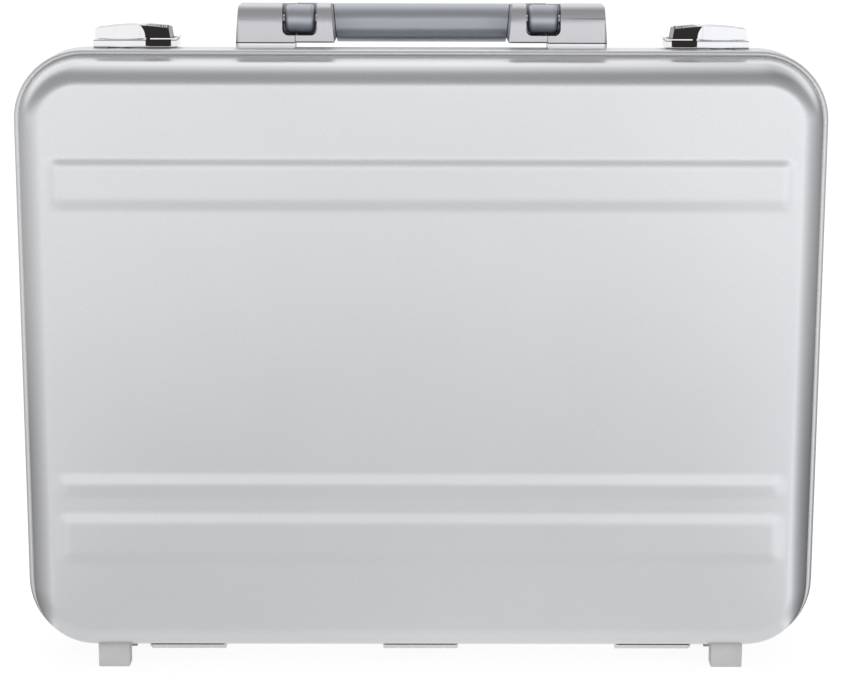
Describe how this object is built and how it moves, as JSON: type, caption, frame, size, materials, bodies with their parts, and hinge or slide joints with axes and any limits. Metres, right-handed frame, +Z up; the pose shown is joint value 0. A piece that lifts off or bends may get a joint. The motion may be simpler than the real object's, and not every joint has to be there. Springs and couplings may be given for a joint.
{
  "type": "hard-shell attache case",
  "caption": "Slim upright aluminium attache case with rounded corners, pressed horizontal bands, a folding top handle, combination latches and a hinged lid on stays.",
  "frame": {"origin": "middle of the footprint, on the floor under the feet", "axes": "+X across the case, +Y from the lid to the back, +Z up"},
  "size_m": [0.46, 0.0959, 0.3839],
  "materials": {
    "shell": "bead-blasted, matte",
    "frame": "anodised, satin",
    "seal": "matte",
    "lining": "woven",
    "hinge": "satin",
    "steel": "brushed",
    "feet": "matte",
    "handle_metal": "satin silver paint",
    "grip": "satin",
    "chrome": "polished",
    "dial_housing": "polished",
    "dial": "polished",
    "organiser": "fine grain"
  },
  "bodies": {
    "base": {"base_shell": "shell", "base_frame": "frame", "seal_gasket": "seal", "base_lining": "lining", "hinge_leaves_base": "hinge", "hinge_pins": "steel", "hinge_screws_base": "steel", "feet_base": "feet", "feet_screws_base": "steel", "handle_pads": "frame", "handle_post_left": "handle_metal", "handle_post_right": "handle_metal", "handle_barrels": "grip", "handle_pins": "steel", "handle_screws": "steel", "handle_backing_plate": "steel", "latch_body_left": "chrome", "latch_body_right": "chrome", "latch_pins": "steel", "latch_springs": "steel", "latch_screws": "steel", "dial_housing_left": "dial_housing", "dial_housing_right": "dial_housing", "dial_axles": "steel", "stay_brackets_base": "steel"},
    "lid": {"lid_shell": "shell", "lid_frame": "frame", "lid_lining": "lining", "hinge_leaves_lid": "hinge", "hinge_screws_lid": "steel", "feet_lid": "feet", "feet_screws_lid": "steel", "latch_catch_left": "chrome", "latch_catch_right": "chrome", "catch_screws": "steel", "stay_brackets_lid": "steel", "document_pocket": "organiser", "organiser_flap": "organiser", "pen_loops": "organiser"},
    "handle": {"handle_arm_left": "handle_metal", "handle_arm_right": "handle_metal", "grip_core": "steel", "grip_sleeve": "grip", "grip_screws": "steel"},
    "latch_lever_left": {"latch_lever_left": "chrome"},
    "release_tab_left": {"release_tab_left": "chrome"},
    "dial_left_1": {"dial_left_1": "dial"},
    "dial_left_2": {"dial_left_2": "dial"},
    "dial_left_3": {"dial_left_3": "dial"},
    "latch_lever_right": {"latch_lever_right": "chrome"},
    "release_tab_right": {"release_tab_right": "chrome"},
    "dial_right_1": {"dial_right_1": "dial"},
    "dial_right_2": {"dial_right_2": "dial"},
    "dial_right_3": {"dial_right_3": "dial"},
    "stay_link_base_left": {"stay_link_base_left": "steel"},
    "stay_link_lid_left": {"stay_link_lid_left": "steel"},
    "stay_link_base_right": {"stay_link_base_right": "steel"},
    "stay_link_lid_right": {"stay_link_lid_right": "steel"}
  },
  "joints": [
    {"name": "lid_hinge", "type": "hinge", "parent": "base", "child": "lid", "pos_m": [0, -0.013, 0.0065], "axis": [1, 0, 0], "range_deg": [0, 100]},
    {"name": "handle_fold", "type": "hinge", "parent": "base", "child": "handle", "pos_m": [0, 0, 0.3753], "axis": [1, 0, 0], "range_deg": [0, 90]},
    {"name": "latch_lever_left_turn", "type": "hinge", "parent": "base", "child": "latch_lever_left", "pos_m": [-0.1707, 0.0075, 0.3675], "axis": [-1, 0, 0], "range_deg": [0, 75]},
    {"name": "release_tab_left_push", "type": "slide", "parent": "base", "child": "release_tab_left", "axis": [-1, 0, 0], "range_m": [0, 0.002], "stiffness_N_per_m": 300, "springref_m": -0.001},
    {"name": "dial_left_1_turn", "type": "hinge", "parent": "base", "child": "dial_left_1", "pos_m": [-0.1529, -0.0009, 0.3662], "axis": [1, 0, 0], "continuous": true},
    {"name": "dial_left_2_turn", "type": "hinge", "parent": "base", "child": "dial_left_2", "pos_m": [-0.149, -0.0009, 0.3662], "axis": [1, 0, 0], "continuous": true},
    {"name": "dial_left_3_turn", "type": "hinge", "parent": "base", "child": "dial_left_3", "pos_m": [-0.1451, -0.0009, 0.3662], "axis": [1, 0, 0], "continuous": true},
    {"name": "latch_lever_right_turn", "type": "hinge", "parent": "base", "child": "latch_lever_right", "pos_m": [0.1707, 0.0075, 0.3675], "axis": [-1, 0, 0], "range_deg": [0, 75]},
    {"name": "release_tab_right_push", "type": "slide", "parent": "base", "child": "release_tab_right", "axis": [1, 0, 0], "range_m": [0, 0.002], "stiffness_N_per_m": 300, "springref_m": -0.001},
    {"name": "dial_right_1_turn", "type": "hinge", "parent": "base", "child": "dial_right_1", "pos_m": [0.1529, -0.0009, 0.3662], "axis": [1, 0, 0], "continuous": true},
    {"name": "dial_right_2_turn", "type": "hinge", "parent": "base", "child": "dial_right_2", "pos_m": [0.149, -0.0009, 0.3662], "axis": [1, 0, 0], "continuous": true},
    {"name": "dial_right_3_turn", "type": "hinge", "parent": "base", "child": "dial_right_3", "pos_m": [0.1451, -0.0009, 0.3662], "axis": [1, 0, 0], "continuous": true},
    {"name": "stay_base_left_turn", "type": "hinge", "parent": "base", "child": "stay_link_base_left", "pos_m": [-0.2195, -0.001, 0.0665], "axis": [1, 0, 0], "range_deg": [0, 100]},
    {"name": "stay_lid_left_turn", "type": "hinge", "parent": "lid", "child": "stay_link_lid_left", "pos_m": [-0.2195, -0.025, 0.0665], "axis": [-1, 0, 0], "range_deg": [0, 100]},
    {"name": "stay_base_right_turn", "type": "hinge", "parent": "base", "child": "stay_link_base_right", "pos_m": [0.2195, -0.001, 0.0665], "axis": [1, 0, 0], "range_deg": [0, 100]},
    {"name": "stay_lid_right_turn", "type": "hinge", "parent": "lid", "child": "stay_link_lid_right", "pos_m": [0.2195, -0.025, 0.0665], "axis": [-1, 0, 0], "range_deg": [0, 100]}
  ],
  "couplings": [
    {"joint": "stay_base_left_turn", "follows": "lid_hinge", "ratio": 1},
    {"joint": "stay_lid_left_turn", "follows": "lid_hinge", "ratio": 1},
    {"joint": "stay_base_right_turn", "follows": "lid_hinge", "ratio": 1},
    {"joint": "stay_lid_right_turn", "follows": "lid_hinge", "ratio": 1}
  ]
}
